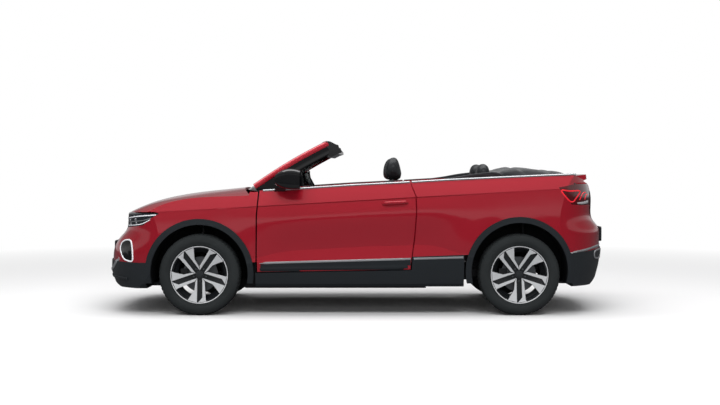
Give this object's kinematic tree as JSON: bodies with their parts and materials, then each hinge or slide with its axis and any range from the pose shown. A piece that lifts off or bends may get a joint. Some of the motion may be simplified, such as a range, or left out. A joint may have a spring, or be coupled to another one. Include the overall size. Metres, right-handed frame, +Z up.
{
  "type": "compact crossover convertible",
  "caption": "Two-door compact crossover convertible, soft top folded down, with opening doors, bonnet and boot lid, rolling wheels and working steering.",
  "frame": {"origin": "on the ground, at half the overall length and on the centre line", "axes": "+X to the rear of the car, +Y to its right-hand side, +Z up"},
  "size_m": [4.2588, 2.0028, 1.436],
  "materials": {
    "paint_red": "metallic red body paint",
    "structure_grey": "dark primed steel",
    "cladding_black": "grained black plastic",
    "gloss_black": "gloss black plastic",
    "lamp_clear": "clear lamp cover",
    "lamp_red": "red and grey lamp cover",
    "screen_glass": "laminated glass",
    "dash_plastic": "soft grained plastic",
    "seat_leather": "black leather and cloth",
    "roof_cloth": "black woven roof cloth",
    "cast_metal": "cast and forged metal",
    "steel": "plain steel",
    "alloy": "machined alloy with black windows",
    "tyre_rubber": "black tyre rubber",
    "tank_plastic": "moulded tank plastic"
  },
  "bodies": {
    "body": {"front_wing_left": "paint_red", "front_wing_right": "paint_red", "quarter_panel_left": "paint_red", "quarter_panel_right": "paint_red", "front_bumper": "paint_red", "rear_bumper": "paint_red", "windscreen_frame": "paint_red", "floor_pan": "structure_grey", "bulkhead": "structure_grey", "rear_wall": "structure_grey", "sills": "cladding_black", "arch_cladding": "cladding_black", "wheel_housings": "cladding_black", "front_valance": "cladding_black", "rear_valance": "cladding_black", "front_grille": "gloss_black", "headlamps": "lamp_clear", "tail_lamps": "lamp_red", "windscreen": "screen_glass", "dashboard": "dash_plastic", "centre_console": "dash_plastic", "steering_column": "dash_plastic", "front_seat_left": "seat_leather", "front_seat_right": "seat_leather", "rear_bench": "seat_leather", "folded_soft_top": "roof_cloth", "engine_block": "cast_metal", "front_subframe": "cast_metal", "rear_axle": "cast_metal", "front_struts": "steel", "half_shafts": "steel", "steering_rack": "steel", "exhaust": "steel", "fuel_tank": "tank_plastic"},
    "bonnet_lid": {"bonnet": "paint_red"},
    "door_left_leaf": {"door_left": "paint_red", "mirror_left": "gloss_black"},
    "door_right_leaf": {"door_right": "paint_red", "mirror_right": "gloss_black"},
    "boot_lid_leaf": {"boot_lid": "paint_red"},
    "hand_wheel": {"steering_wheel": "dash_plastic"},
    "knuckle_left": {"knuckle_left": "cast_metal"},
    "knuckle_right": {"knuckle_right": "cast_metal"},
    "steering_rods": {"tie_rods": "steel"},
    "front_wheel_left": {"wheel_front_left": "alloy", "tyre_front_left": "tyre_rubber"},
    "front_wheel_right": {"wheel_front_right": "alloy", "tyre_front_right": "tyre_rubber"},
    "rear_wheel_left": {"wheel_rear_left": "alloy", "tyre_rear_left": "tyre_rubber"},
    "rear_wheel_right": {"wheel_rear_right": "alloy", "tyre_rear_right": "tyre_rubber"}
  },
  "joints": [
    {"name": "bonnet_hinge", "type": "hinge", "parent": "body", "child": "bonnet_lid", "pos_m": [-0.895, 0, 0.99], "axis": [0, 1, 0], "range_deg": [0, 48]},
    {"name": "boot_hinge", "type": "hinge", "parent": "body", "child": "boot_lid_leaf", "pos_m": [1.815, 0, 1.118], "axis": [0, -1, 0], "range_deg": [0, 75]},
    {"name": "door_left_hinge", "type": "hinge", "parent": "body", "child": "door_left_leaf", "pos_m": [-0.7335, -0.861, 0.6], "axis": [0, 0, -1], "range_deg": [0, 65]},
    {"name": "door_right_hinge", "type": "hinge", "parent": "body", "child": "door_right_leaf", "pos_m": [-0.7335, 0.861, 0.6], "axis": [0, 0, 1], "range_deg": [0, 65]},
    {"name": "steer_left", "type": "hinge", "parent": "body", "child": "knuckle_left", "pos_m": [-1.298, -0.738, 0.23], "axis": [0, 0.2728, 0.9621], "range_deg": [-33, 33]},
    {"name": "steer_right", "type": "hinge", "parent": "body", "child": "knuckle_right", "pos_m": [-1.298, 0.738, 0.23], "axis": [0, -0.2728, 0.9621], "range_deg": [-33, 33]},
    {"name": "rack_slide", "type": "slide", "parent": "body", "child": "steering_rods", "axis": [0, 1, 0], "range_m": [-0.072, 0.072]},
    {"name": "hand_wheel_turn", "type": "hinge", "parent": "body", "child": "hand_wheel", "pos_m": [-0.356, -0.37, 0.995], "axis": [0.891, 0, 0.454], "range_deg": [-450, 450]},
    {"name": "front_wheel_left_spin", "type": "hinge", "parent": "knuckle_left", "child": "front_wheel_left", "pos_m": [-1.298, -0.773, 0.334], "axis": [0, 1, 0], "continuous": true},
    {"name": "rear_wheel_left_spin", "type": "hinge", "parent": "body", "child": "rear_wheel_left", "pos_m": [1.332, -0.7705, 0.334], "axis": [0, 1, 0], "continuous": true},
    {"name": "front_wheel_right_spin", "type": "hinge", "parent": "knuckle_right", "child": "front_wheel_right", "pos_m": [-1.298, 0.773, 0.334], "axis": [0, 1, 0], "continuous": true},
    {"name": "rear_wheel_right_spin", "type": "hinge", "parent": "body", "child": "rear_wheel_right", "pos_m": [1.332, 0.7705, 0.334], "axis": [0, 1, 0], "continuous": true}
  ],
  "couplings": [
    {"joint": "steer_right", "follows": "steer_left", "ratio": 1},
    {"joint": "rack_slide", "follows": "steer_left", "m_per_rad": 0.118},
    {"joint": "hand_wheel_turn", "follows": "steer_left", "ratio": 13.6}
  ]
}
